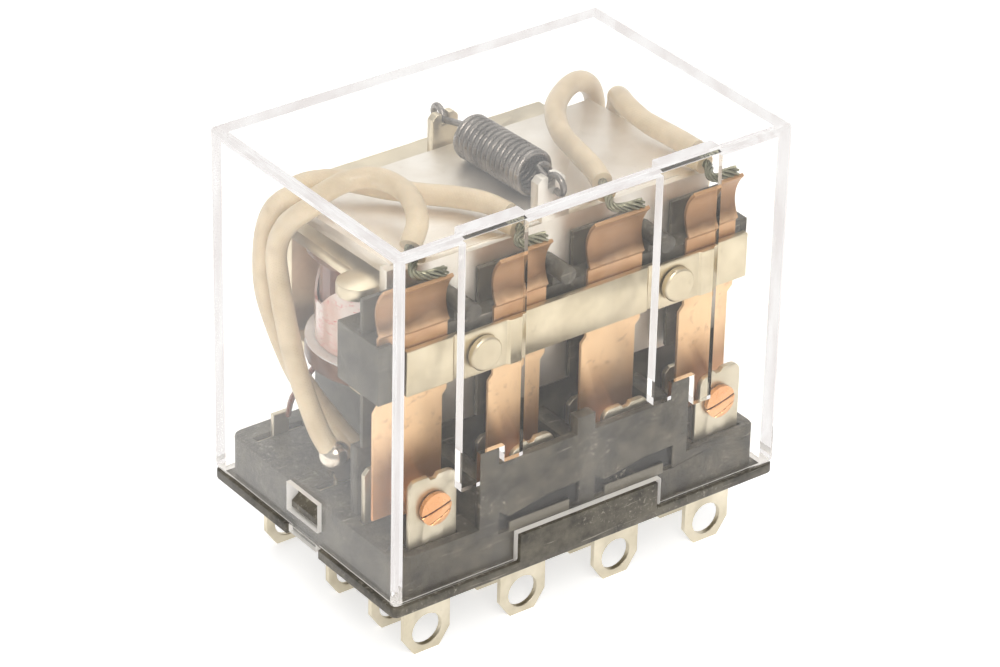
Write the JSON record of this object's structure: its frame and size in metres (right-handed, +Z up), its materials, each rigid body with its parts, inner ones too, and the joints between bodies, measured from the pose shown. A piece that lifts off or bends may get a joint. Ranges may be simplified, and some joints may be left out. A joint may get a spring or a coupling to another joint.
{
  "type": "industrial control relay",
  "caption": "Plug-in power relay with change-over contacts: clear box cover, black base with flat solder blades, coil, hinged armature and copper contact springs.",
  "frame": {"origin": "centre of the base flange's flat underside, the face that seats on a socket", "axes": "+Z up through the cover, +X along the row of poles, -Y towards the contact side, +Y towards the coil terminals"},
  "size_m": [0.0404, 0.027, 0.0406],
  "materials": {
    "clear_plastic": "clear polished polycarbonate moulding",
    "black_plastic": "black glass-filled moulding, satin",
    "plated_steel": "zinc-nickel plated steel with a warm cream tint",
    "copper": "bright copper alloy spring strip",
    "silver": "silver alloy contact, satin",
    "bobbin_plastic": "brown moulded nylon",
    "coil_wire": "enamelled copper wire",
    "tape": "thin glossy pale pink polyester tape",
    "sleeve": "cream woven sleeving",
    "spring_steel": "dark phosphated spring wire"
  },
  "bodies": {
    "frame": {"base": "black_plastic", "bobbin": "bobbin_plastic", "coil_lead_left": "coil_wire", "coil_lead_right": "coil_wire", "coil_tape": "tape", "coil_winding": "coil_wire", "contact_nc_1": "copper", "contact_nc_2": "copper", "contact_nc_3": "copper", "contact_nc_4": "copper", "contact_no_1": "silver", "contact_no_2": "silver", "contact_no_3": "silver", "contact_no_4": "silver", "core": "plated_steel", "cover": "clear_plastic", "flex_lead_1": "sleeve", "flex_lead_2": "sleeve", "flex_lead_3": "sleeve", "flex_lead_4": "sleeve", "pole_shoe": "plated_steel", "return_spring": "spring_steel", "terminal_coil_left": "plated_steel", "terminal_coil_right": "plated_steel", "terminal_com_1": "plated_steel", "terminal_com_2": "plated_steel", "terminal_com_3": "plated_steel", "terminal_com_4": "plated_steel", "terminal_nc_1": "plated_steel", "terminal_nc_2": "plated_steel", "terminal_nc_3": "plated_steel", "terminal_nc_4": "plated_steel", "terminal_no_1": "plated_steel", "terminal_no_2": "plated_steel", "terminal_no_3": "plated_steel", "terminal_no_4": "plated_steel", "yoke": "plated_steel"},
    "armature": {"armature": "plated_steel", "bar_rivet_left": "plated_steel", "bar_rivet_right": "plated_steel", "clamp_bar": "plated_steel", "contact_carrier": "black_plastic", "contact_moving_1": "silver", "contact_moving_2": "silver", "contact_moving_3": "silver", "contact_moving_4": "silver", "moving_spring_1": "copper", "moving_spring_2": "copper", "moving_spring_3": "copper", "moving_spring_4": "copper"}
  },
  "joints": [
    {"name": "armature_tilt", "type": "hinge", "parent": "frame", "child": "armature", "pos_m": [0, 0.0075, 0.02705], "axis": [1, 0, 0], "range_deg": [0, 2.2], "stiffness_Nm_per_rad": 0.03, "springref_deg": -8.59, "deforming": ["flex_lead_1", "flex_lead_2", "flex_lead_3", "flex_lead_4", "return_spring"]}
  ]
}
